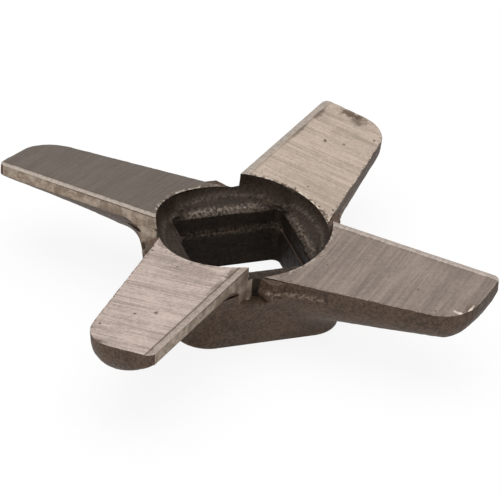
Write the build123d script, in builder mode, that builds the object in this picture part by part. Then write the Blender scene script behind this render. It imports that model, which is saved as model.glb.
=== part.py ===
from build123d import *
import math
import os

# Four-armed knife for a meat grinder: one casting with ground cutting faces.
# The origin is the centre of the hub's rear face, +Z points to the cutting side,
# and the flats of the square bore face X and Y.  All lengths are millimetres.

# Driving dimensions
bore_side = 12.7            # clear square through the bore's land
recess_radius = 9.75        # round recess in the cutting side of the hub
recess_depth = 2.5
height = 10.2               # rear face to the plane of the cutting edges
lead_offset = 5.13          # axis to the line of a cutting edge
trail_offset = 7.93         # axis to the line of a trailing edge
tip_offset = 28.7           # axis to the line of an arm's end
lead_angle = -46.8          # direction of the first arm's cutting edge, from +X
arm_taper = 8.7             # degrees between cutting edge and trailing edge
tip_skew = -1.5             # degrees from the cutting edge's direction to the end's normal
relief = 7.1                # degrees the ground face falls from cutting to trailing edge
arms = 4

# Values tied to the driving dimensions
lead_corner = 0.8           # plan radius where cutting edge and end meet
trail_corner = 4.4          # plan radius where end and trailing edge meet
land_width = 0.45           # level land along the cutting edge
grind_depth = 1.3           # height of the ground wall under the cutting edge
root_depth = 0.725 * height # depth of an arm's underside near the axis
end_depth = 0.455 * height  # depth of an arm's underside at its end
web_top = height - recess_depth
web_radius = 1.155 * recess_radius
rim_top = 0.848 * height    # cast rim of the recess, between the arms
rim_radius = 1.15 * recess_radius
boss_half = 0.957 * recess_radius
boss_corner = 3.4
boss_edge = 0.4             # rounding of the rear face's outer edge
blend_radius = 0.343 * height  # cast blend between the arms and the hub
recess_fillet = 1.9         # between the recess wall and its floor
bore_mouth = bore_side + 0.3
bore_lip = 0.35             # height of the slope around the bore's mouth
bore_corner = 0.9
land_top = 0.455 * height   # the bore's land lies between these two heights
land_low = 0.17 * height
lead_in = bore_side + 0.5   # wider square at the rear face
runout_depth = 0.37 * height  # ground wall carried down into the hub
runout_radius = 0.133 * recess_radius
runout_x = 0.900 * recess_radius
step = 360.0 / arms
sector_edge = 38.0          # from a cutting edge's direction to the middle of the gap before the next arm
root_x = 4.0                # inner end of an arm, inside the hub

# Each arm is laid out along +X with its cutting edge at y = lead_offset, then turned.
taper_slope = math.tan(math.radians(arm_taper))
skew_slope = math.tan(math.radians(-tip_skew))
relief_slope = math.tan(math.radians(relief))


def trail_y(x, inset=0.0):
    """y of the trailing edge at x, moved inwards by inset"""
    return (inset - trail_offset) / math.cos(math.radians(arm_taper)) + x * taper_slope


def tip_x(y, inset=0.0):
    """x of the arm's end at y, moved inwards by inset"""
    return tip_offset - inset + y * skew_slope


def corners(lead_in, trail_in, tip_in):
    """plan outline of an arm with its sides moved inwards, as (x, y) corners"""
    y1 = lead_offset - lead_in
    x1 = tip_x(y1, tip_in)
    x2 = tip_x(trail_y(tip_offset - tip_in, trail_in), tip_in)
    y2 = trail_y(x2, trail_in)
    return [(root_x, y1), (x1, y1), (x2, y2), (root_x, trail_y(root_x, trail_in))]


def meets_hub(edge):
    """true for an edge where the underside of the first arm runs into the hub"""
    c = edge.center()
    radius = math.hypot(c.X, c.Y)
    turn = (math.degrees(math.atan2(c.Y, c.X)) - lead_angle + 180.0) % 360.0 - 180.0
    level = 0.29 * height < c.Z < web_top - 0.05
    return level and 0.93 * recess_radius < radius < 1.45 * recess_radius and -42 < turn < 25


# Cast underside of an arm, level by level from the ground wall down: the share of
# the depth, then how far the cutting side, the back and the end have drawn in.
levels = [
    (0.00, 0.00, 0.00, 0.00),
    (0.25, 1.05, 0.06, 0.10),
    (0.50, 2.35, 0.30, 0.45),
    (0.75, 3.75, 0.90, 1.10),
    (0.92, 4.75, 1.60, 1.90),
    (1.00, 5.40, 2.20, 2.60),
]

with BuildPart() as arm:
    for share, lead_draw, trail_draw, tip_draw in levels:
        z_root = height - grind_depth - share * (root_depth - grind_depth)
        z_end = height - grind_depth - share * (end_depth - grind_depth)
        slope = math.atan2(z_end - z_root, tip_offset - root_x)
        level = Plane(
            (root_x, 0, z_root),
            x_dir=(math.cos(slope), 0, math.sin(slope)),
            z_dir=(-math.sin(slope), 0, math.cos(slope)),
        )
        with BuildSketch(level) as section:
            with BuildLine():
                points = corners(lead_draw, trail_draw, tip_draw)
                Polyline(*[((x - root_x) / math.cos(slope), y) for x, y in points], close=True)
            make_face()
            outer = section.vertices().sort_by(Axis.X)[-2:].sort_by(Axis.Y)
            fillet(outer[1], radius=lead_corner)
            outer = section.vertices().filter_by(lambda v: v.X > 10).sort_by(Axis.Y)
            fillet(outer[0], radius=trail_corner - 1.7 * max(trail_draw, 0.0))
    loft()
    # upper part of the arm, with straight walls
    with BuildSketch(Plane.XY.offset(height - grind_depth)) as face_plan:
        with BuildLine():
            Polyline(*corners(0.0, 0.0, 0.0), close=True)
        make_face()
        outer = face_plan.vertices().sort_by(Axis.X)[-2:].sort_by(Axis.Y)
        fillet(outer[1], radius=lead_corner)
        outer = face_plan.vertices().filter_by(lambda v: v.X > 10).sort_by(Axis.Y)
        fillet(outer[0], radius=trail_corner)
    extrude(amount=grind_depth)
    # ground face, falling from the level land to the trailing edge
    land_y = lead_offset - land_width
    back_y = -trail_offset - 2.0
    with BuildSketch(Plane((root_x - 1.0, 0, 0), x_dir=(0, 1, 0), z_dir=(1, 0, 0))):
        with BuildLine():
            Polyline(
                (land_y, height),
                (back_y, height - (land_y - back_y) * relief_slope),
                (back_y, height + 1.0),
                (land_y, height + 1.0),
                close=True,
            )
        make_face()
    extrude(amount=tip_offset, mode=Mode.SUBTRACT)

with BuildPart() as quarter:
    # hub: rounded square at the rear face, swelling to a round web under the recess
    with BuildSketch(Plane.XY):
        RectangleRounded(2 * boss_half, 2 * boss_half, boss_corner)
    with BuildSketch(Plane.XY.offset(web_top)):
        RectangleRounded(2 * web_radius, 2 * web_radius, web_radius - 0.1)
    loft(ruled=True)
    add(arm.part.rotate(Axis.Z, lead_angle))
    # cast blends from the underside of the arm into the hub
    blends = quarter.edges().filter_by(meets_hub)
    print("blend edges", len(blends))
    fillet(blends, radius=blend_radius)
    # keep this arm's quarter turn of the hub
    late = math.radians(lead_angle + sector_edge)
    middle = late - math.radians(step / 2.0)
    early = late - math.radians(step)
    reach = 2.0 * tip_offset
    with BuildSketch(Plane.XY.offset(-1.0)):
        with BuildLine():
            Polyline(
                (0, 0),
                (reach * math.cos(early), reach * math.sin(early)),
                (1.5 * reach * math.cos(middle), 1.5 * reach * math.sin(middle)),
                (reach * math.cos(late), reach * math.sin(late)),
                close=True,
            )
        make_face()
    extrude(amount=height + 4.0, mode=Mode.INTERSECT)
    print("one arm and its quarter of the hub:", round(quarter.part.volume, 1), "mm3, valid",
          quarter.part.is_valid)

with BuildPart() as knife:
    for k in range(arms):
        add(quarter.part.rotate(Axis.Z, k * step))
    print("four arms:", round(knife.part.volume, 1), "mm3, valid", knife.part.is_valid)
    # rounded outer edge of the rear face
    fillet(knife.faces().sort_by(Axis.Z)[0].outer_wire().edges(), radius=boss_edge)
    # cast rim of the recess, standing between the arms
    with BuildSketch(Plane.XY.offset(web_top - 0.5)):
        Circle(rim_radius)
    extrude(amount=rim_top - web_top + 0.5)
    # wheel run-out: in each gap the ground wall is carried down into the hub and turns
    # outwards short of the recess, which leaves the rim thin there
    for k in range(arms):
        turned = Plane.XY.offset(height - runout_depth).rotated((0, 0, lead_angle + k * step))
        with BuildSketch(turned):
            with BuildLine():
                start = (runout_x, lead_offset)
                turn_mid = (runout_x - runout_radius * math.sqrt(0.5),
                            lead_offset + runout_radius * (1.0 - math.sqrt(0.5)))
                turn_end = (runout_x - runout_radius, lead_offset + runout_radius)
                ThreePointArc(start, turn_mid, turn_end)
                Polyline(turn_end, (runout_x, web_radius), (tip_offset, tip_offset),
                         (tip_offset + 3.0, lead_offset), start)
            make_face()
        extrude(amount=runout_depth + 1.0, mode=Mode.SUBTRACT)
    print("with run-outs:", round(knife.part.volume, 1), "mm3, valid", knife.part.is_valid)
    # round recess in the cutting side
    with BuildSketch(Plane.XZ):
        with BuildLine():
            floor_edge = (recess_radius - recess_fillet, web_top)
            wall_foot = (recess_radius - 0.05, web_top + recess_fillet)
            Line((0, web_top), floor_edge)
            RadiusArc(floor_edge, wall_foot, -recess_fillet)
            Line(wall_foot, (recess_radius, height))
            Line((recess_radius, height), (recess_radius, height + 1.0))
            Line((recess_radius, height + 1.0), (0, height + 1.0))
            Line((0, height + 1.0), (0, web_top))
        make_face()
    revolve(axis=Axis.Z, mode=Mode.SUBTRACT)
    print("with recess:", round(knife.part.volume, 1), "mm3, valid", knife.part.is_valid)
    # square bore: mouth, land and a wider square at the rear
    with BuildSketch(Plane.XY.offset(-1.0)):
        RectangleRounded(bore_side, bore_side, bore_corner)
    extrude(amount=height + 2.0, mode=Mode.SUBTRACT)
    with BuildSketch(Plane.XY.offset(land_top)):
        RectangleRounded(bore_mouth, bore_mouth, bore_corner)
    extrude(amount=height, mode=Mode.SUBTRACT)
    with BuildSketch(Plane.XY.offset(land_low)):
        RectangleRounded(lead_in, lead_in, bore_corner)
    extrude(amount=-height, mode=Mode.SUBTRACT)
    # worn, sloping lip around the mouth of the bore
    with BuildSketch(Plane.XY.offset(web_top - bore_lip)):
        RectangleRounded(bore_mouth, bore_mouth, bore_corner)
    extrude(amount=bore_lip + 0.1, taper=-45.0, mode=Mode.SUBTRACT)
    print("knife:", round(knife.part.volume, 1), "mm3, valid", knife.part.is_valid,
          len(knife.part.solids()), "solid", len(knife.part.faces()), "faces")

knife.part.label = "knife"
os.makedirs("parts", exist_ok=True)
export_step(knife.part, "parts/knife.step")
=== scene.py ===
import math

import bmesh
import bpy
import numpy as np
from mathutils import Matrix, Vector


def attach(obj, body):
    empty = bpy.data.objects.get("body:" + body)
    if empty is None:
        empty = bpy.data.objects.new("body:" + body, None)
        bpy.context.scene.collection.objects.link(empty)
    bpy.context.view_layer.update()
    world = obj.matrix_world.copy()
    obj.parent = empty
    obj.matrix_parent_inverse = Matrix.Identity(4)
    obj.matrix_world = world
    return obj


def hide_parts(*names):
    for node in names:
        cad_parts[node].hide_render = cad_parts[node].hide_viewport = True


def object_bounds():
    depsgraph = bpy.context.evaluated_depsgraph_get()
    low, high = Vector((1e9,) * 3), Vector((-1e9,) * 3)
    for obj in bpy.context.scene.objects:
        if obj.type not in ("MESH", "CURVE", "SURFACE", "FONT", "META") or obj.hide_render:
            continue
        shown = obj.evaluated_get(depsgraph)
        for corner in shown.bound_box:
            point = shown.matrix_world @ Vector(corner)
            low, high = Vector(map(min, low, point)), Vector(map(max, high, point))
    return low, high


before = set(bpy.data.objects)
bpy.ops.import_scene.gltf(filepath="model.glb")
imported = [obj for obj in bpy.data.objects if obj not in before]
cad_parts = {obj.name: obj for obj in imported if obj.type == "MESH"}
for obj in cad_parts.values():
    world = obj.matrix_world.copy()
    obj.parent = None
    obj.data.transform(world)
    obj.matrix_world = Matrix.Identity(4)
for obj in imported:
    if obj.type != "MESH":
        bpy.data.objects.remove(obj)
cad_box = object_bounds()

# Sizes are the CAD part's own, in millimetres; the scene is in metres.
MM = 0.001
HEIGHT = cad_box[1][2] / MM     # rear face to the plane of the cutting edges
RECESS_RADIUS = 9.75
RECESS_FLOOR = HEIGHT - 2.5
LEAD_OFFSET = 5.13              # axis to the line of a cutting edge
TRAIL_OFFSET = 7.93             # axis to the line of a trailing edge
ARM_TAPER = math.radians(8.7)   # between cutting edge and trailing edge
LEAD_ANGLE = -46.8              # direction of the first arm's cutting edge, from +X
QUARTER = 90.0                  # turn from one arm to the next
RELIEF = math.tan(math.radians(7.1))    # fall of the ground face towards the trailing edge
LAND_WIDTH = 0.45
LAND_EDGE = LEAD_OFFSET - LAND_WIDTH
WALL_DEPTH = 1.3                # ground wall under the cutting edge
BORE_HALF = 6.5
GAP_MIDDLE = 38.0               # from a cutting edge's direction to the middle of the next gap

# What the mould, the wheel and wear left, in mm, with heights from the rear face. A pair of
# numbers is the two ends of the step by which a feature comes in or fades out, and a band is its
# middle and its width.
MERGE = 0.00001                 # points closer than this are one
LONGEST_EDGE = 0.42             # of the refined cast faces
MOST_HALVINGS = 8
SLIVER = 0.002                  # a triangle thinner than this share of its side isn't cut further
FLAT_ANGLE = math.radians(0.5)  # faces that meet at less are one flat face
EDGE_WIDTH = 0.06               # worn bevel round a ground face
SHARP_GROUND = math.radians(2.0)    # edges of ground and of cast faces that stay sharp
SHARP_CAST = math.radians(55.0)
GRAIN = ((0.8, 0.035, 5.0), (0.38, 0.022, 11.0))    # size, height and seed of each sandy grain
GRAIN_SINK = 0.03               # mean depth of the grain under the CAD part's surface
REAR_KEPT = 0.15                # height of the smooth band at the rear face
BORE_GRAIN = 1.3                # grain in the bore, as a share of the grain outside
LEDGE_OUT = 0.4                 # how far the ledge under the trailing edge stands out
LEDGE_FOOT, LEDGE_TOP = (5.4, 7.2), (7.45, 7.75)
LEDGE_FACING = (0.5, 0.8)       # how far the surface turns away from the cutting edge
LEDGE_START, LEDGE_END = 6.0, (9.5, 13.5)   # along the arm
RING_BAND, RING_OUT = (8.75, 0.28), 0.12    # low ring in the recess
RING_BEND, RING_WANDER = 0.15, (2.5, 41.0)  # how far it wanders; size and seed of its bends
MOUTH_SIDE = (6.55, 7.7)        # rounded mouth of the bore, from the axis
MOUTH_DEPTH = 0.8               # how far below the recess's floor it reaches
MOUTH_RISE, MOUTH_DROP = 0.2, 0.7   # of the near lip, and how much lower the others are
MOUTH_WORN_FROM = (-6.3, -4.5)  # along Y, from the near lip to the others
ROOT_ALONG = (7.9, 8.75, 9.7, 10.7, 11.9)   # lower border of the flush root, along the arm
ROOT_LOW = (6.45, 6.5, 7.46, 8.5, 8.95)     # and its height
ROOT_FLUSH, ROOT_DRAWN = (-1.6, 0.0), (-3.2, -0.8)      # heights over that border
ROOT_PULL = 0.35                # share by which the surface below it is drawn to the wall
ROOT_START, ROOT_FADE = 8.0, (11.0, 13.5)   # along the arm
BORDER_WEAR = 0.05              # mean depth of the worn border
BORDER_WAVER = ((1.1, 0.05, 23.0), (0.45, 0.03, 31.0))  # size, depth and seed

# Bare metal and painted highlights: where they lie, and how strongly they take the skin's place.
# painted highlight on the top of the ledge, where it catches the light
SHELF_BAND, SHELF_FROM, SHELF_HIGHLIGHT = (7.55, 0.16), 10.5, 0.7    # top of the ledge, off the hub
RIDGE_BAND, RIDGE_FROM, RIDGE_BARE = (4.7, 0.4), 5.0, 0.5       # ridge in the bore, at its back
# painted highlight along the low ring in the recess
RING_HIGHLIGHT = 0.16
LIP_BAND, LIP_DEPTH, LIP_FADE, LIP_BARE = (6.9, 0.36), 0.9, (7.6, 8.7), 0.75    # bore's mouth
LIP_FROM = 6.0                  # where its back and right sides start
LIP_BACK, LIP_RIGHT, LIP_REST = 0.9, 0.55, 0.12     # its sides, as shares of LIP_BARE
UPPER_HEIGHT, UPPER_BARE = (9.0, 9.8), 0.8          # upper edge of the recess
UPPER_BEARING = (22.0, 20.0)    # band of it that is bare, in degrees from +X

# Mixing of the lattice numbers that the sandy grain comes from
HASH_AXES = (73856093, 19349663, 83492791)
HASH_ROUNDS = ((13, 1274126177), (15, 668265263))
HASH_MASK = 0x7FFFFFFF

ARMS = 4                        # the ground faces' finishes have their arms' numbers
WALL, SKIN, RECESS, BORE, EDGE = range(ARMS, ARMS + 5)
FINISHES = EDGE + 1
BROWN = "#5d4c3f"               # casting skin the wheel didn't reach
BARE = "#d5cabd"                # chips of bare metal
WHITE = "#ffffff"
SMOOTH = {"interpolation_type": "SMOOTHSTEP"}       # for Map Range nodes
COLOURS = {"out": 2, "data_type": "RGBA"}           # for Mix nodes


def linear(hex_colour):
    """sRGB hex to linear red, green, blue and alpha"""
    parts = [int(hex_colour[i:i + 2], 16) / 255.0 for i in (1, 3, 5)]
    return [c / 12.92 if c <= 0.04045 else ((c + 0.055) / 1.055) ** 2.4 for c in parts] + [1.0]


def add(tree, kind, inputs=None, out=0, **settings):
    """Adds one node with its settings, sets or links its inputs, and returns one of its outputs,
    or the node itself where out is None"""
    made = tree.nodes.new(kind)
    for name, value in settings.items():
        setattr(made, name, value)
    for name, value in (inputs or {}).items():
        if isinstance(value, bpy.types.NodeSocket):
            tree.links.new(value, made.inputs[name])
        else:
            made.inputs[name].default_value = value
    return made if out is None else made.outputs[out]


def start_material(name):
    """An empty material, and its node tree"""
    material = bpy.data.materials.new(name)
    material.use_nodes = True
    material.node_tree.nodes.clear()
    return material, material.node_tree


# ---------------------------------------------------------------- materials

def ground_face(name, tone_with_painted_reflection, streak, speck, land_tone, groove, rim, seed, stains):
    """Cast steel ground on a wheel: lines across the arm from the wheel's grit, a bright land
    along the cutting edge, casting pits, and brown skin where the wheel didn't reach. tone is the
    face's colour with painted reflection in it, lighter on arms whose grinding lines catch the
    overhead light and darker on the others. streak is how far the lines change that colour;
    speck, groove and rim are how strong the pits, the dark line along the land and the border at
    the recess are; seed moves the lines."""
    material, tree = start_material(name)
    place = add(tree, "ShaderNodeAttribute", out="Vector", attribute_name="arm_place")
    across = add(tree, "ShaderNodeSeparateXYZ", {0: place}, out="Y")
    # grit lines: noise drawn out across the arm, 1.3 mm bands and 0.26 mm lines; the grit's own
    # lines are finer, and are drawn this coarse so that they show
    lines = []
    for spacing, length, detail in ((1.3, 26.0, 2.0), (0.26, 7.0, 3.0)):
        drawn = add(tree, "ShaderNodeMapping", {
            "Vector": place, "Location": (seed, seed, 0.0),
            "Scale": (1.0 / spacing, 1.0 / length, 0.0)})
        lines.append(add(tree, "ShaderNodeTexNoise", {
            "Vector": drawn, "Scale": 1.0, "Detail": detail, "Roughness": 0.6}))
    # cloudy wear 4.5 mm across, grit of 0.33 mm and flecks of 0.43 mm
    cloud = add(tree, "ShaderNodeTexNoise", {
        "Vector": place, "Scale": 0.22, "Detail": 4.0, "Roughness": 0.6})
    grit = add(tree, "ShaderNodeTexNoise", {
        "Vector": place, "Scale": 3.0, "Detail": 3.0, "Roughness": 0.7})
    flecks = add(tree, "ShaderNodeTexNoise", {
        "Vector": place, "Scale": 2.3, "Detail": 3.0, "Roughness": 0.7})
    mixed = 0.0
    for pattern, weight in ((lines[0], 0.4), (lines[1], 0.5), (cloud, 0.3), (grit, 0.4)):
        mixed = add(tree, "ShaderNodeMath", {0: pattern, 1: weight, 2: mixed},
                    operation="MULTIPLY_ADD")
    spread = add(tree, "ShaderNodeMapRange", {
        0: mixed, 1: 0.64, 2: 0.96, 3: 1.0 - streak, 4: 1.0 + streak}, **SMOOTH)
    # the tone carries painted reflection: lighter on arms whose grinding lines catch the overhead
    # light, darker on the others
    base = add(tree, "ShaderNodeVectorMath", {0: linear(tone_with_painted_reflection)[:3], 1: spread},
               operation="MULTIPLY")
    # pits: each Voronoi cell, about 1 mm wide, holds at most one, its size drawn from the cell's
    # own random colour
    bent = add(tree, "ShaderNodeTexNoise", {"Vector": place, "Scale": 4.0, "Detail": 2.0},
               out="Color")
    bent = add(tree, "ShaderNodeVectorMath", {0: bent, 1: (0.35, 0.35, 0.35), 2: place},
               operation="MULTIPLY_ADD")
    flat = add(tree, "ShaderNodeVectorMath", {0: bent, 1: (1.0, 1.0, 0.0)},
               operation="MULTIPLY")
    cells = add(tree, "ShaderNodeTexVoronoi", {"Vector": flat, "Scale": 0.95}, out=None)
    chance = add(tree, "ShaderNodeSeparateColor", {0: cells.outputs["Color"]})
    size = add(tree, "ShaderNodeMath", {0: chance, 1: 6.0}, operation="POWER")
    size = add(tree, "ShaderNodeMath", {0: size, 1: -0.17, 2: cells.outputs["Distance"]},
               operation="MULTIPLY_ADD")
    pits = add(tree, "ShaderNodeMapRange", {0: size, 1: -0.01, 2: 0.05, 3: speck, 4: 0.0},
               **SMOOTH)
    base = add(tree, "ShaderNodeMix", {0: pits, 6: base, 7: linear("#4a3e35")}, **COLOURS)
    # stains: noisy ellipses, each (along, across, half length, half width, strength, colour)
    for at_along, at_across, half_length, half_width, strength, colour in stains:
        near = add(tree, "ShaderNodeMapping", {
            "Vector": place,
            "Location": (-at_along / half_length, -at_across / half_width, 0.0),
            "Scale": (1.0 / half_length, 1.0 / half_width, 0.0)})
        near = add(tree, "ShaderNodeVectorMath", {0: near}, out="Value", operation="LENGTH")
        ragged = add(tree, "ShaderNodeTexNoise", {
            "Vector": place, "Scale": 1.6, "Detail": 5.0, "Roughness": 0.7})
        near = add(tree, "ShaderNodeMath", {0: ragged, 1: 2.2, 2: near},
                   operation="MULTIPLY_ADD")
        near = add(tree, "ShaderNodeMapRange", {0: near, 1: 1.35, 2: 2.15, 3: strength, 4: 0.0},
                   **SMOOTH)
        base = add(tree, "ShaderNodeMix", {0: near, 6: base, 7: linear(colour)}, **COLOURS)
    # specks of skin along the trailing edge
    back = (-math.sin(ARM_TAPER), math.cos(ARM_TAPER), 0.0)
    behind = add(tree, "ShaderNodeVectorMath", {0: place, 1: back}, out="Value",
                 operation="DOT_PRODUCT")
    behind = add(tree, "ShaderNodeMath", {0: grit, 1: 1.9, 2: behind}, operation="MULTIPLY_ADD")
    behind = add(tree, "ShaderNodeMapRange", {
        0: behind, 1: 0.8 - TRAIL_OFFSET, 2: 1.15 - TRAIL_OFFSET, 3: 0.75, 4: 0.0}, **SMOOTH)
    base = add(tree, "ShaderNodeMix", {0: behind, 6: base, 7: linear(BROWN)}, **COLOURS)
    # ragged border at the recess, part skin and part bare metal
    level = add(tree, "ShaderNodeVectorMath", {0: place, 1: (1.0, 1.0, 0.0)},
                operation="MULTIPLY")
    inside = add(tree, "ShaderNodeVectorMath", {0: level}, out="Value", operation="LENGTH")
    inside = add(tree, "ShaderNodeMath", {0: grit, 1: 1.5, 2: inside}, operation="MULTIPLY_ADD")
    inside = add(tree, "ShaderNodeMapRange", {
        0: inside, 1: RECESS_RADIUS + 0.85, 2: RECESS_RADIUS + 1.15, 3: rim, 4: 0.0}, **SMOOTH)
    metal = add(tree, "ShaderNodeMapRange", {0: flecks, 1: 0.46, 2: 0.60}, **SMOOTH)
    mottled = add(tree, "ShaderNodeMix", {0: metal, 6: linear(BROWN), 7: linear(BARE)}, **COLOURS)
    base = add(tree, "ShaderNodeMix", {0: inside, 6: base, 7: mottled}, **COLOURS)
    # a dark line where the face meets the land, then the land itself
    waver = add(tree, "ShaderNodeMath", {0: grit, 1: 0.30, 2: across}, operation="MULTIPLY_ADD")
    rise = add(tree, "ShaderNodeMapRange", {
        0: waver, 1: LEAD_OFFSET - 0.92, 2: LEAD_OFFSET - 0.72}, **SMOOTH)
    fall = add(tree, "ShaderNodeMapRange", {
        0: waver, 1: LEAD_OFFSET - 0.66, 2: LEAD_OFFSET - 0.52, 3: 1.0, 4: 0.0}, **SMOOTH)
    line = add(tree, "ShaderNodeMath", {0: rise, 1: fall}, operation="MULTIPLY")
    line = add(tree, "ShaderNodeMath", {0: line, 1: groove}, operation="MULTIPLY")
    base = add(tree, "ShaderNodeMix", {0: line, 6: base, 7: linear("#6b5b4e")}, **COLOURS)
    land = add(tree, "ShaderNodeMapRange", {
        0: waver, 1: LEAD_OFFSET - 0.62, 2: LEAD_OFFSET - 0.48}, **SMOOTH)
    glint = add(tree, "ShaderNodeMapRange", {0: grit, 1: 0.35, 2: 0.65, 3: 0.78, 4: 1.12},
                **SMOOTH)
    bright = add(tree, "ShaderNodeVectorMath", {0: linear(land_tone)[:3], 1: glint},
                 operation="MULTIPLY")
    base = add(tree, "ShaderNodeMix", {0: land, 6: base, 7: bright}, **COLOURS)
    # the lines and pits are 0.03 mm deep, too shallow to be shape
    relief = add(tree, "ShaderNodeMath", {0: lines[1], 1: 0.6, 2: lines[0]},
                 operation="MULTIPLY_ADD")
    relief = add(tree, "ShaderNodeMath", {0: pits, 1: -2.0, 2: relief}, operation="MULTIPLY_ADD")
    bump = add(tree, "ShaderNodeBump", {
        "Height": relief, "Strength": 0.35, "Distance": 0.03 * MM})
    rough = add(tree, "ShaderNodeMapRange", {0: mixed, 1: 0.60, 2: 1.00, 3: 0.60, 4: 0.50},
                **SMOOTH)
    shader = add(tree, "ShaderNodeBsdfPrincipled", {
        "Base Color": base, "Metallic": 0.85, "Roughness": rough, "Normal": bump})
    add(tree, "ShaderNodeOutputMaterial", {"Surface": shader}, out=None)
    return material


def ground_wall(name):
    """Cast steel ground on the wheel's side: sandy specks of casting left in it, a painted shadow
    just under the burr of the cutting edge, and a darker band along its foot."""
    material, tree = start_material(name)
    place = add(tree, "ShaderNodeAttribute", out="Vector", attribute_name="arm_place")
    parts = add(tree, "ShaderNodeSeparateXYZ", {0: place}, out=None)
    along, up = parts.outputs["X"], parts.outputs["Z"]
    # specks of 0.3 mm on patches of 1.3 mm
    fine = add(tree, "ShaderNodeTexNoise", {
        "Vector": place, "Scale": 3.2, "Detail": 4.0, "Roughness": 0.75})
    broad = add(tree, "ShaderNodeTexNoise", {"Vector": place, "Scale": 0.8, "Detail": 2.0})
    both = add(tree, "ShaderNodeMath", {0: fine, 1: 0.65, 2: broad}, operation="MULTIPLY_ADD")
    pale = add(tree, "ShaderNodeMapRange", {0: both, 1: 0.62, 2: 1.02}, **SMOOTH)
    base = add(tree, "ShaderNodeMix", {0: pale, 6: linear("#837263"), 7: linear("#af9f8f")},
               **COLOURS)
    # painted shadow: a dark line under the burr of the cutting edge, fading towards the arm's end
    under = add(tree, "ShaderNodeMapRange", {0: up, 1: HEIGHT - 0.26, 2: HEIGHT - 0.10}, **SMOOTH)
    gone = add(tree, "ShaderNodeMapRange", {0: along, 1: 17.0, 2: 25.0, 3: 0.62, 4: 0.15},
               **SMOOTH)
    under = add(tree, "ShaderNodeMath", {0: under, 1: gone}, operation="MULTIPLY")
    base = add(tree, "ShaderNodeMix", {0: under, 6: base, 7: linear("#43372d")}, **COLOURS)
    # darker along the foot of the wall, beyond the flush root
    foot = HEIGHT - WALL_DEPTH
    low = add(tree, "ShaderNodeMapRange", {0: up, 1: foot - 0.1, 2: foot + 0.35, 3: 0.45, 4: 0.0},
              **SMOOTH)
    deep = add(tree, "ShaderNodeMapRange", {0: along, 1: 11.5, 2: 12.5}, **SMOOTH)
    low = add(tree, "ShaderNodeMath", {0: low, 1: deep}, operation="MULTIPLY")
    base = add(tree, "ShaderNodeMix", {0: low, 6: base, 7: linear("#5b4c40")}, **COLOURS)
    bump = add(tree, "ShaderNodeBump", {"Height": both, "Strength": 0.4, "Distance": 0.08 * MM})
    shader = add(tree, "ShaderNodeBsdfPrincipled", {
        "Base Color": base, "Metallic": 0.6, "Roughness": 0.58, "Normal": bump})
    add(tree, "ShaderNodeOutputMaterial", {"Surface": shader}, out=None)
    return material


def cast_skin(name, dark, light, bright, shine):
    """Sand-cast steel left as it came from the mould: brown oxide with a sandy grain, paler
    grains where the oxide has worn off, and bare grains and painted highlights by the mesh's
    attribute."""
    material, tree = start_material(name)
    spot = add(tree, "ShaderNodeTexCoord", out="Object")
    # sand of 0.34 mm on lumps of 2.9 mm
    lump = add(tree, "ShaderNodeTexNoise", {"Vector": spot, "Scale": 0.35 / MM, "Detail": 2.0})
    sand = add(tree, "ShaderNodeTexNoise", {
        "Vector": spot, "Scale": 1.0 / (0.34 * MM), "Detail": 5.0, "Roughness": 0.72})
    both = add(tree, "ShaderNodeMath", {0: lump, 1: 0.22, 2: sand}, operation="MULTIPLY_ADD")
    pale = add(tree, "ShaderNodeMapRange", {0: both, 1: 0.42, 2: 0.82}, **SMOOTH)
    base = add(tree, "ShaderNodeMix", {0: pale, 6: linear(dark), 7: linear(light)}, **COLOURS)
    # bare metal on the bore's mouth and ridge and the recess's upper edge, with painted highlights
    # on the ledge and the ring
    bare_and_painted_highlight = add(tree, "ShaderNodeAttribute", out="Fac", attribute_name="bare_and_painted_highlight")
    bare = add(tree, "ShaderNodeMapRange", {0: sand, 1: 0.38, 2: 0.66}, **SMOOTH)
    bare = add(tree, "ShaderNodeMath", {0: bare_and_painted_highlight, 1: bare}, operation="MULTIPLY")
    base = add(tree, "ShaderNodeMix", {0: bare, 6: base, 7: linear(bright)}, **COLOURS)
    bump = add(tree, "ShaderNodeBump", {"Height": both, "Strength": 0.8, "Distance": 0.12 * MM})
    shader = add(tree, "ShaderNodeBsdfPrincipled", {
        "Base Color": base, "Metallic": 0.2, "Roughness": 0.6, "Specular IOR Level": shine,
        "Normal": bump})
    add(tree, "ShaderNodeOutputMaterial", {"Surface": shader}, out=None)
    return material


def worn_edge(name):
    """Burr and bare metal along the borders of the ground faces, broken up by dark nicks."""
    material, tree = start_material(name)
    place = add(tree, "ShaderNodeAttribute", out="Vector", attribute_name="arm_place")
    # nicks of 0.6 mm
    bits = add(tree, "ShaderNodeTexNoise", {
        "Vector": place, "Scale": 1.7, "Detail": 4.0, "Roughness": 0.75})
    bare = add(tree, "ShaderNodeMapRange", {0: bits, 1: 0.42, 2: 0.62}, **SMOOTH)
    base = add(tree, "ShaderNodeMix", {0: bare, 6: linear("#5f5146"), 7: linear("#c2b6a8")},
               **COLOURS)
    shader = add(tree, "ShaderNodeBsdfPrincipled", {
        "Base Color": base, "Metallic": 0.85, "Roughness": 0.45})
    add(tree, "ShaderNodeOutputMaterial", {"Surface": shader}, out=None)
    return material


# ---------------------------------------------------------------- the knife

def arm_angle(number):
    """The direction of each arm's cutting edge in radians"""
    return np.radians(LEAD_ANGLE + QUARTER * number)


def turned(points, number):
    """Points or directions turned back about the axis by their arm's angle: along, across, up"""
    turn = arm_angle(number)
    along = points[:, 0] * np.cos(turn) + points[:, 1] * np.sin(turn)
    across = points[:, 1] * np.cos(turn) - points[:, 0] * np.sin(turn)
    return np.stack([along, across, points[:, 2]], axis=1)


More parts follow.
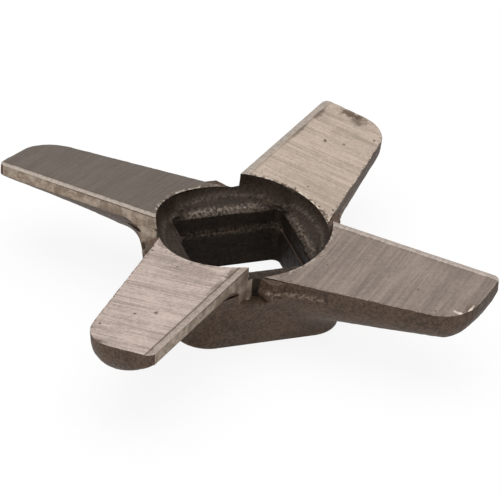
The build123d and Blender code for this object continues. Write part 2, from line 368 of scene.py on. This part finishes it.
def arm_places(points):
    """Each point's arm number and its place along, across and up that arm, in mm: the quarter
    turn it lies in, counted from the middle of one gap to the middle of the next, then a turn
    about the axis"""
    angle = np.degrees(np.arctan2(points[:, 1], points[:, 0]))
    number = np.floor((angle - LEAD_ANGLE - GAP_MIDDLE) / QUARTER + 1.0).astype(int) % ARMS
    return number, turned(points, number)


def sand_grain(points, size, seed):
    """A smooth random height from -1 to 1 at each point: a hashed value at each corner of a
    lattice of the given size, blended along the three axes by 3t^2 - 2t^3"""
    place = points / size + seed
    cell = np.floor(place).astype(np.int64)
    part = place - cell
    part = part * part * (3.0 - 2.0 * part)
    total = np.zeros(len(points))
    for corner in range(8):
        step = np.array([corner & 1, corner >> 1 & 1, corner >> 2])
        key = (cell + step) @ np.array(HASH_AXES)
        for shift, factor in HASH_ROUNDS:
            key = (key ^ (key >> shift)) * factor & HASH_MASK
        weight = np.prod(np.where(step, part, 1.0 - part), axis=1)
        total += weight * ((key >> 8) % 4096 / 2048.0 - 1.0)
    return total


def smooth_step(value, low, high):
    """0 below low, 1 above high, 3t^2 - 2t^3 between"""
    part = np.clip((value - low) / (high - low), 0.0, 1.0)
    return part * part * (3.0 - 2.0 * part)


def bell(value, middle, width):
    """exp(-t^2), where t is the distance from the middle in widths"""
    return np.exp(-((value - middle) / width) ** 2)


def read(items, name, width, kind=float):
    """One property of every vertex, edge or face as an array with width columns"""
    values = np.empty(len(items) * width, kind)
    items.foreach_get(name, values)
    return values.reshape(-1, width) if width > 1 else values


def face_corners(mesh, values):
    """The vertex number of every face corner, and the value of the face that it belongs to"""
    sides = read(mesh.polygons, "loop_total", 1, np.int32)
    return read(mesh.loops, "vertex_index", 1, np.int32), np.repeat(values, sides)


def points_of(mesh, chosen):
    """Which vertices lie on at least one of the chosen faces"""
    vertex, taken = face_corners(mesh, chosen)
    found = np.zeros(len(mesh.vertices), bool)
    found[vertex[taken]] = True
    return found


def finishes(centre, normal):
    """The finish of each face from where it lies and which way it faces: the number of its arm
    for a ground face, or WALL, SKIN, RECESS or BORE"""
    number, place = arm_places(centre)
    up = place[:, 2]
    upward = normal[:, 2]
    facing = turned(normal, number)[:, 1]
    radius = np.hypot(centre[:, 0], centre[:, 1])
    # ground face: tilted by the relief behind the land, and level on it
    fall = np.maximum(LAND_EDGE - place[:, 1], 0.0) * RELIEF
    tilted = np.abs(upward - math.cos(math.atan(RELIEF))) < 0.002
    tilted &= up > HEIGHT - fall - 0.1
    level = (upward > 0.999) & (up > HEIGHT - 0.05)
    face = (tilted | level) & (radius > RECESS_RADIUS - 0.1)
    # ground wall, and the upright run-out that carries it down into the gap
    wall = (facing > 0.985) & (up > HEIGHT - WALL_DEPTH - 0.05)
    runout = (np.abs(upward) < 0.01) & (facing > 0.75) & (up > 0.5 * HEIGHT)
    runout &= (radius > 0.95 * RECESS_RADIUS) & (radius < 1.5 * RECESS_RADIUS)
    runout &= place[:, 1] > 0
    # bore, and the recess with its floor
    square = np.maximum(np.abs(centre[:, 0]), np.abs(centre[:, 1]))
    bore = (square < BORE_HALF + 0.15) & (np.abs(upward) < 0.5)
    recess = (radius < RECESS_RADIUS + 0.03) & (up > RECESS_FLOOR - 0.6) & ~face
    finish = np.full(len(centre), SKIN)
    finish[recess] = RECESS
    finish[bore] = BORE
    finish[wall | runout] = WALL
    finish[face] = number[face]
    return finish


def refined(mesh):
    """The cast faces' edges halved until none is longer than LONGEST_EDGE; flat ground faces
    first become single faces and only take new points on their borders"""
    shape = bmesh.new()
    shape.from_mesh(mesh)
    ground = [e for e in shape.edges if any(f.material_index <= WALL for f in e.link_faces)]
    bmesh.ops.dissolve_limit(shape, angle_limit=FLAT_ANGLE, verts=[], edges=ground,
                             delimit={"MATERIAL"})
    for _ in range(MOST_HALVINGS):
        long_edges = [e for e in shape.edges if e.calc_length() > LONGEST_EDGE * MM
                      and any(f.material_index > WALL for f in e.link_faces)
                      and min(f.calc_area() for f in e.link_faces) > SLIVER * e.calc_length() ** 2]
        if not long_edges:
            break
        bmesh.ops.subdivide_edges(shape, edges=long_edges, cuts=1)
        many_sided = [f for f in shape.faces if len(f.verts) > 3 and f.material_index > WALL]
        bmesh.ops.triangulate(shape, faces=many_sided)
    shape.to_mesh(mesh)
    shape.free()


def roughened(mesh):
    """Every point that lies on cast faces alone is moved along its normal by two sizes of sandy
    grain; the borders of the ground faces waver inwards; a ledge stands under the trailing edge
    beside the hub; the bore's mouth is rounded over and a low ring stands in the recess; at each
    arm's root the underside is brought out flush with the ground wall, down to a point."""
    finish = read(mesh.polygons, "material_index", 1, np.int32)
    ground = points_of(mesh, finish <= WALL)
    top = points_of(mesh, finish < WALL)
    wall = points_of(mesh, finish == WALL)
    inner = points_of(mesh, finish == BORE)
    hollow = points_of(mesh, finish == RECESS)
    points = read(mesh.vertices, "co", 3) / MM
    normal = read(mesh.vertices, "normal", 3)
    number, place = arm_places(points)
    along, across, up = place.T
    facing = turned(normal, number)[:, 1]
    radius = np.hypot(points[:, 0], points[:, 1])
    square = np.maximum(np.abs(points[:, 0]), np.abs(points[:, 1]))
    # sandy grain, kept off the rear face
    height = sum(depth * sand_grain(points, size, seed) for size, depth, seed in GRAIN)
    height = height - GRAIN_SINK
    height[points[:, 2] < REAR_KEPT] = 0.0
    height[inner] *= BORE_GRAIN
    # ledge left by the mould under the trailing edge, fading out along the arm
    ledge = smooth_step(up, *LEDGE_FOOT) * (1.0 - smooth_step(up, *LEDGE_TOP))
    ledge *= smooth_step(-facing, *LEDGE_FACING) * (1.0 - smooth_step(along, *LEDGE_END))
    ledge *= along > LEDGE_START
    # low ring in the recess, and the bore's mouth rounded over
    bent = RING_BEND * sand_grain(points, *RING_WANDER)
    ring = bell(radius + bent, *RING_BAND) * hollow
    mouth = (1.0 - smooth_step(square, *MOUTH_SIDE)) * (hollow | inner)
    mouth *= points[:, 2] > RECESS_FLOOR - MOUTH_DEPTH
    height = np.where(ground, 0.0, height + LEDGE_OUT * ledge + RING_OUT * ring)
    points = points + normal * height[:, None]
    far = smooth_step(points[:, 1], *MOUTH_WORN_FROM)
    points[:, 2] -= mouth * ~ground * (MOUTH_DROP * far - MOUTH_RISE)
    # root of the underside ground flush with the wall, and drawn towards it for a way below
    above = up - np.interp(along, ROOT_ALONG, ROOT_LOW)
    flush = np.maximum(smooth_step(above, *ROOT_FLUSH),
                       ROOT_PULL * smooth_step(above, *ROOT_DRAWN))
    flush *= (along > ROOT_START) * (1.0 - smooth_step(along, *ROOT_FADE))
    flush *= (facing > -0.2) & (across < LEAD_OFFSET) & (across > 0.5)
    flush *= ~(ground | hollow | inner)
    turn = arm_angle(number)
    out = flush * (LEAD_OFFSET - across)
    points[:, 0] -= np.sin(turn) * out
    points[:, 1] += np.cos(turn) * out
    # bare metal on the bore's middle ridge and mouth and on the recess's upper edge, and painted
    # highlights on the top of the ledge and along the ring
    shelf = bell(up, *SHELF_BAND) * (ledge > 0.02) * (radius > SHELF_FROM)
    ridge = bell(points[:, 2], *RIDGE_BAND) * inner * (points[:, 1] > RIDGE_FROM)
    lip = bell(square, *LIP_BAND) * (points[:, 2] > RECESS_FLOOR - LIP_DEPTH) * (hollow | inner)
    sides = np.where(points[:, 0] > LIP_FROM, LIP_RIGHT * far, LIP_REST)
    sides = np.where(points[:, 1] > LIP_FROM, LIP_BACK, sides)
    lip *= (1.0 - smooth_step(radius, *LIP_FADE)) * sides
    bearing = np.degrees(np.arctan2(points[:, 1], points[:, 0]))
    upper = smooth_step(points[:, 2], *UPPER_HEIGHT) * hollow * bell(bearing, *UPPER_BEARING)
    bare_and_painted_highlight = (RING_HIGHLIGHT * ring ** 2 + LIP_BARE * lip + RIDGE_BARE * ridge + SHELF_HIGHLIGHT * shelf
              + UPPER_BARE * upper)
    # the borders of the ground faces waver inwards
    border = top & ~wall & (radius > RECESS_RADIUS + 0.3)
    waver = sum((depth * sand_grain(points, size, seed) for size, depth, seed in BORDER_WAVER),
                BORDER_WEAR)
    waver = np.where(border, np.maximum(waver, 0.0), 0.0)
    outward = normal[:, :2] / np.maximum(np.hypot(normal[:, 0], normal[:, 1]), 1e-6)[:, None]
    points[:, :2] -= outward * waver[:, None]
    drop = (outward[:, 1] * np.cos(turn) - outward[:, 0] * np.sin(turn)) * waver * RELIEF
    points[:, 2] -= np.where(across < LAND_EDGE, drop, 0.0)
    # nothing may pass the CAD part's own box
    points = np.clip(points, np.array(cad_box[0]) / MM, np.array(cad_box[1]) / MM)
    mesh.vertices.foreach_set("co", (points * MM).ravel())
    mesh.update()
    kept = mesh.attributes.new("bare_and_painted_highlight", "FLOAT", "POINT")
    kept.data.foreach_set("value", np.clip(bare_and_painted_highlight, 0.0, 1.0))
    # the part of the underside that is now flush is ground too
    _, middle = arm_places(read(mesh.polygons, "center", 3) / MM)
    flat = (finish == SKIN) & (np.abs(middle[:, 1] - LEAD_OFFSET) < 0.3)
    flat &= middle[:, 2] > np.interp(middle[:, 0], ROOT_ALONG, ROOT_LOW) - 0.15
    flat &= (middle[:, 0] > ROOT_START) & (middle[:, 0] < ROOT_ALONG[-1])
    finish[flat] = WALL
    mesh.polygons.foreach_set("material_index", finish)


def edged(mesh):
    """A narrow worn bevel round every ground face, and sharp edges where two finishes meet or
    two flat ground faces do"""
    shape = bmesh.new()
    shape.from_mesh(mesh)
    rim = []
    for edge in shape.edges:
        kinds = [f.material_index for f in edge.link_faces]
        if len(kinds) == 2 and min(kinds) < WALL <= max(kinds):
            rim.append(edge)
    bmesh.ops.bevel(shape, geom=rim, offset=EDGE_WIDTH * MM, segments=2, profile=0.5,
                    affect="EDGES", clamp_overlap=True, material=EDGE)
    for edge in shape.edges:
        flat = min(f.material_index for f in edge.link_faces) <= WALL
        edge.smooth = edge.calc_face_angle(0.0) <= (SHARP_GROUND if flat else SHARP_CAST)
    for face in shape.faces:
        face.smooth = True
    shape.to_mesh(mesh)
    shape.free()


def knife_surface(source):
    """The CAD mesh with its loose triangles joined, given its finishes, refined, roughened and
    edged, with each face corner's place on its arm kept for the grinding lines"""
    mesh = source.data.copy()
    mesh.name = "knife_steel"
    shape = bmesh.new()
    shape.from_mesh(mesh)
    bmesh.ops.remove_doubles(shape, verts=shape.verts, dist=MERGE * MM)
    shape.to_mesh(mesh)
    shape.free()
    mesh.materials.clear()
    for _ in range(FINISHES):
        mesh.materials.append(None)
    finish = finishes(read(mesh.polygons, "center", 3) / MM, read(mesh.polygons, "normal", 3))
    mesh.polygons.foreach_set("material_index", finish.astype(np.int32))
    refined(mesh)
    roughened(mesh)
    edged(mesh)
    number, _ = arm_places(read(mesh.polygons, "center", 3) / MM)
    vertex, owner = face_corners(mesh, number)
    place = turned(read(mesh.vertices, "co", 3)[vertex] / MM, owner)
    kept = mesh.attributes.new("arm_place", "FLOAT_VECTOR", "CORNER")
    kept.data.foreach_set("vector", place.ravel())
    return mesh


knife = bpy.data.objects.new("knife_steel", knife_surface(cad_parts["knife"]))
bpy.context.collection.objects.link(knife)
# in the order of the finishes' numbers
# the arms' tones hold painted reflection: the back and front arms lighter, as if their grinding
# lines caught the overhead light, the right and left arms darker
for slot, material in enumerate((
    ground_face("right_arm_ground_steel_painted_shade", "#7f736b", 0.20, 0.5, "#aa9e96", 0.25, 0.3, 3.0,
                [(28.2, -1.5, 0.7, 1.6, 0.6, BROWN), (27.7, -2.5, 1.3, 0.28, 0.9, BARE),
                 (28.3, -1.4, 0.22, 0.9, 0.9, BARE)]),
    ground_face("back_arm_ground_steel_painted_sheen", "#b0a194", 0.20, 0.8, "#aa9f95", 0.35, 0.9, 17.0,
                [(20.5, 4.3, 3.6, 0.45, 0.6, BROWN), (25.5, 4.2, 2.2, 0.5, 0.7, BROWN),
                 (28.0, 1.2, 0.9, 2.3, 0.9, BROWN), (27.4, 0.0, 1.2, 1.3, 0.7, BROWN),
                 (21.0, 1.0, 0.35, 0.3, 1.0, BROWN), (23.5, 0.8, 1.4, 0.8, 0.15, BROWN)]),
    ground_face("left_arm_ground_steel_painted_shade", "#71675f", 0.13, 0.35, "#b3a79c", 0.45, 0.7, 31.0, []),
    ground_face("front_arm_ground_steel_painted_sheen", "#b9a9a0", 0.28, 0.8, "#a7988e", 0.95, 0.35, 45.0,
                [(10.3, 4.1, 1.6, 0.6, 0.7, BROWN), (13.5, 4.0, 2.4, 0.4, 0.5, BROWN),
                 (20.8, 1.0, 0.4, 0.35, 0.8, BROWN), (28.3, -1.8, 0.6, 1.4, 0.8, BROWN),
                 (23.5, 0.8, 0.8, 1.0, 0.15, BROWN), (11.5, 0.0, 1.8, 4.5, 0.25, BROWN)]),
    ground_wall("ground_wall_steel"),
    cast_skin("cast_steel_skin", "#35271c", "#624d3d", "#b39f8f", 0.4),
    # the recess and the bore take darker copies of the cast skin, as painted shade in those
    # hollows
    cast_skin("recess_cast_skin_painted_shade", "#180f08", "#3a2b1e", "#ab9c8e", 0.3),
    cast_skin("bore_cast_skin_painted_shade", "#150f0a", "#31261c", "#85776b", 0.15),
    worn_edge("worn_steel_edge"),
)):
    knife.data.materials[slot] = material
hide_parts("knife")
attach(knife, "root")

# ---------------------------------------------------------------- floor, light and camera

FLOOR_HALF = 1.0                # in metres
floor_mesh = bpy.data.meshes.new("floor")
floor_mesh.from_pydata([(-FLOOR_HALF, -FLOOR_HALF, 0), (FLOOR_HALF, -FLOOR_HALF, 0),
                        (FLOOR_HALF, FLOOR_HALF, 0), (-FLOOR_HALF, FLOOR_HALF, 0)],
                       [], [(0, 1, 2, 3)])
floor = bpy.data.objects.new("floor", floor_mesh)
bpy.context.collection.objects.link(floor)
# matt white paper: no gloss and no grain, so that only the soft shadow shows on it
material, tree = start_material("white_paper")
seen = add(tree, "ShaderNodeLightPath", out=None)
mirror = add(tree, "ShaderNodeMath", {
    0: seen.outputs["Is Camera Ray"], 1: seen.outputs["Is Glossy Ray"]}, operation="MAXIMUM")
share = add(tree, "ShaderNodeMath", {0: mirror, 1: 0.88}, operation="MULTIPLY")
paper = add(tree, "ShaderNodeBsdfDiffuse", {"Color": linear("#f3f3f3")})
glow = add(tree, "ShaderNodeEmission", {"Color": linear(WHITE), "Strength": 1.0})
sheet = add(tree, "ShaderNodeMixShader", {0: share, 1: paper, 2: glow})
# clear from below, so that the knife's rear can be seen
beneath = add(tree, "ShaderNodeNewGeometry", out="Backfacing")
clear = add(tree, "ShaderNodeBsdfTransparent")
sheet = add(tree, "ShaderNodeMixShader", {0: beneath, 1: sheet, 2: clear})
add(tree, "ShaderNodeOutputMaterial", {"Surface": sheet}, out=None)
floor_mesh.materials.append(material)

world = bpy.data.worlds.new("studio")
bpy.context.scene.world = world
world.use_nodes = True
tree = world.node_tree
tree.nodes.clear()
seen = add(tree, "ShaderNodeLightPath", out="Is Camera Ray")
dim = add(tree, "ShaderNodeBackground", {"Color": linear(WHITE), "Strength": 0.55})
white = add(tree, "ShaderNodeBackground", {"Color": linear(WHITE), "Strength": 1.0})
sky = add(tree, "ShaderNodeMixShader", {0: seen, 1: dim, 2: white})
add(tree, "ShaderNodeOutputWorld", {"Surface": sky}, out=None)


def soft_lamp(name, place, width, power):
    """A square softbox at place, facing the origin"""
    lamp = bpy.data.lights.new(name, "AREA")
    lamp.size = width
    lamp.energy = power
    holder = bpy.data.objects.new(name, lamp)
    bpy.context.collection.objects.link(holder)
    holder.location = place
    holder.rotation_euler = (-Vector(place)).to_track_quat("-Z", "Y").to_euler()


soft_lamp("top_softbox", (0.05, 0.15, 0.70), 0.9, 4.5)
soft_lamp("front_softbox", (-0.55, -0.45, 0.35), 0.6, 1.35)

# Camera: a long lens from the front, a little to the left of -Y and well above.
VIEW_AZIMUTH = -19.836
VIEW_ELEVATION = 32.189
VIEW_ROLL = 3.691
FRAME = 500.0                   # width and height of the square frame, in its own pixels
FOCAL = 3082.26                 # lens length in the same pixels
AXIS_AT = (244.61, 219.48)      # where the axis meets the plane of the cutting edges, in pixels
DISTANCE = 338.3                # to that point along the view, in mm
SENSOR = 36.0
NEAREST = 0.01                  # nothing closer than this is drawn, in metres


def view_camera():
    """A camera turned by azimuth, elevation and roll, placed so that the axis meets AXIS_AT"""
    azimuth, elevation, roll = (
        math.radians(v) for v in (VIEW_AZIMUTH, VIEW_ELEVATION, VIEW_ROLL))
    turn = np.array([[math.cos(azimuth), math.sin(azimuth), 0],
                     [-math.sin(azimuth), math.cos(azimuth), 0], [0, 0, 1]])
    tilt = np.array([[1, 0, 0], [0, -math.sin(elevation), -math.cos(elevation)],
                     [0, math.cos(elevation), -math.sin(elevation)]])
    spin = np.array([[math.cos(roll), -math.sin(roll), 0],
                     [math.sin(roll), math.cos(roll), 0], [0, 0, 1]])
    look = spin @ tilt @ turn
    middle = FRAME / 2.0
    ray = np.array([(AXIS_AT[0] - middle) / FOCAL, (AXIS_AT[1] - middle) / FOCAL, 1.0])
    place = (-look.T @ (ray * DISTANCE) + np.array([0, 0, HEIGHT])) * MM
    lens = bpy.data.cameras.new("view")
    lens.sensor_width = SENSOR
    lens.lens = FOCAL / FRAME * SENSOR
    lens.clip_start = NEAREST
    holder = bpy.data.objects.new("view", lens)
    bpy.context.collection.objects.link(holder)
    whole = np.identity(4)
    whole[:3, :3] = np.stack([look[0], -look[1], -look[2]], axis=1)
    whole[:3, 3] = place
    holder.matrix_world = Matrix(whole.tolist())
    return holder


bpy.context.scene.camera = view_camera()
bpy.context.scene.view_settings.view_transform = "Standard"
